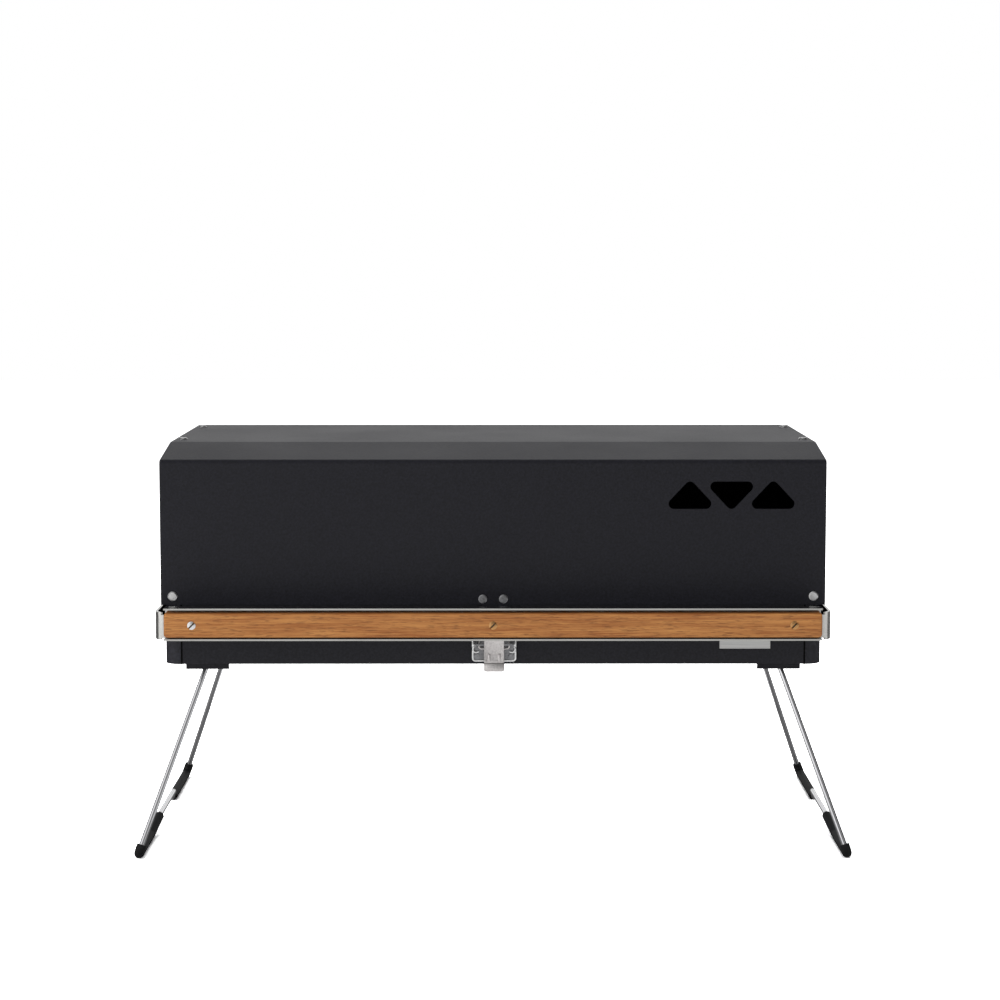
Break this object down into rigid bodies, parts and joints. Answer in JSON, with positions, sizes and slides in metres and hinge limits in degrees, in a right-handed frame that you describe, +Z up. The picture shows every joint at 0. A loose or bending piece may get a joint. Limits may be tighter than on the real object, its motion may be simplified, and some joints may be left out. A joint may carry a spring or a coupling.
{
  "type": "portable gas grill",
  "caption": "Portable tabletop gas grill with a flat-topped black lid, folding wire legs, a front carrying handle with a wooden slat and a draw latch.",
  "frame": {"origin": "middle of the footprint on the ground, under the feet", "axes": "+Z up, -Y towards the front with the handle, +X towards the gas inlet side"},
  "size_m": [0.517, 0.3274, 0.2981],
  "materials": {
    "lid_black": "fine matt powder coat",
    "base_black": "fine matt powder coat",
    "end_cap": "cast aluminium, satin coated",
    "bare_steel": "brushed stainless steel",
    "bright_steel": "zinc plated or stainless fasteners",
    "chrome_wire": "bright chrome plate",
    "foot_rubber": "black moulded rubber",
    "oak": "oiled oak",
    "grate_coat": "cast aluminium, dark non-stick coat",
    "burner_steel": "heat-toned stainless tube",
    "brass": "turned brass",
    "black_plastic": "moulded, fine grain",
    "white_ceramic": "glazed"
  },
  "bodies": {
    "base": {"base_pan": "base_black", "base_end_left": "end_cap", "base_end_right": "end_cap", "base_rivets": "bright_steel", "bracket_rivets": "bright_steel", "firebox_end_left": "bare_steel", "firebox_end_right": "bare_steel", "burner": "burner_steel", "burner_rest": "bare_steel", "gas_valve": "brass", "valve_nut": "bright_steel", "gas_inlet": "brass", "inlet_nut": "brass", "gas_pipe": "brass", "igniter_body": "black_plastic", "igniter_nut": "black_plastic", "ignition_lead": "foot_rubber", "spark_electrode": "white_ceramic", "hinge_base_leaf_left": "bare_steel", "hinge_base_leaf_right": "bare_steel", "hinge_pin_left": "bright_steel", "hinge_pin_right": "bright_steel", "hinge_base_rivets": "bright_steel", "handle_pivot_screws": "bright_steel", "handle_washers": "bright_steel", "handle_nuts": "bright_steel", "leg_bracket_left": "base_black", "leg_bracket_right": "base_black", "latch_plate": "bright_steel", "latch_rivets": "bright_steel", "latch_pins": "bright_steel", "front_plate": "bare_steel"},
    "lid": {"lid_shell": "lid_black", "lid_end_left": "lid_black", "lid_end_right": "lid_black", "lid_rivets": "bright_steel", "keeper_rivets": "bright_steel", "lid_keeper": "bare_steel", "hinge_lid_leaf_left": "bare_steel", "hinge_lid_leaf_right": "bare_steel", "hinge_lid_rivets": "bright_steel"},
    "handle": {"handle_strip": "bare_steel", "slat_channel": "bare_steel", "handle_slat": "oak", "slat_screws": "bright_steel"},
    "leg_left": {"leg_left": "chrome_wire", "foot_sleeve_front_left": "foot_rubber", "foot_sleeve_back_left": "foot_rubber"},
    "leg_right": {"leg_right": "chrome_wire", "foot_sleeve_front_right": "foot_rubber", "foot_sleeve_back_right": "foot_rubber"},
    "lever": {"latch_lever": "bright_steel"},
    "bail": {"latch_bail": "bright_steel"},
    "knob": {"control_knob": "black_plastic", "valve_stem": "bright_steel"},
    "button": {"igniter_button": "black_plastic"},
    "grate": {"grate": "grate_coat"},
    "tray": {"drip_tray": "bare_steel"}
  },
  "joints": [
    {"name": "lid_hinge", "type": "hinge", "parent": "base", "child": "lid", "pos_m": [0, 0.1607, 0.1838], "axis": [-1, 0, 0], "range_deg": [0, 100]},
    {"name": "handle_swing", "type": "hinge", "parent": "base", "child": "handle", "pos_m": [0, -0.0507, 0.17505], "axis": [1, 0, 0], "range_deg": [0, 55]},
    {"name": "leg_fold_left", "type": "hinge", "parent": "base", "child": "leg_left", "pos_m": [-0.2059, 0.0175, 0.14265], "axis": [0, -1, 0], "range_deg": [0, 106]},
    {"name": "leg_fold_right", "type": "hinge", "parent": "base", "child": "leg_right", "pos_m": [0.2059, 0.0175, 0.14265], "axis": [0, 1, 0], "range_deg": [0, 106]},
    {"name": "latch_lever_swing", "type": "hinge", "parent": "base", "child": "lever", "pos_m": [0.0007, -0.1261, 0.158], "axis": [-1, 0, 0], "range_deg": [0, 100]},
    {"name": "latch_bail_swing", "type": "hinge", "parent": "lever", "child": "bail", "pos_m": [0.0007, -0.1235, 0.1545], "axis": [-1, 0, 0], "range_deg": [-100, 0]},
    {"name": "knob_turn", "type": "hinge", "parent": "base", "child": "knob", "pos_m": [0.2353, 0.0175, 0.1645], "axis": [1, 0, 0], "range_deg": [0, 180]},
    {"name": "igniter_push", "type": "slide", "parent": "base", "child": "button", "axis": [-1, 0, 0], "range_m": [0, 0.005], "stiffness_N_per_m": 1500},
    {"name": "grate_lift", "type": "slide", "parent": "base", "child": "grate", "axis": [0, 0, 1], "range_m": [0, 0.06]},
    {"name": "tray_slide", "type": "slide", "parent": "base", "child": "tray", "axis": [0, 1, 0], "range_m": [0, 0.2]}
  ],
  "couplings": [
    {"joint": "latch_bail_swing", "follows": "latch_lever_swing", "ratio": -1}
  ]
}
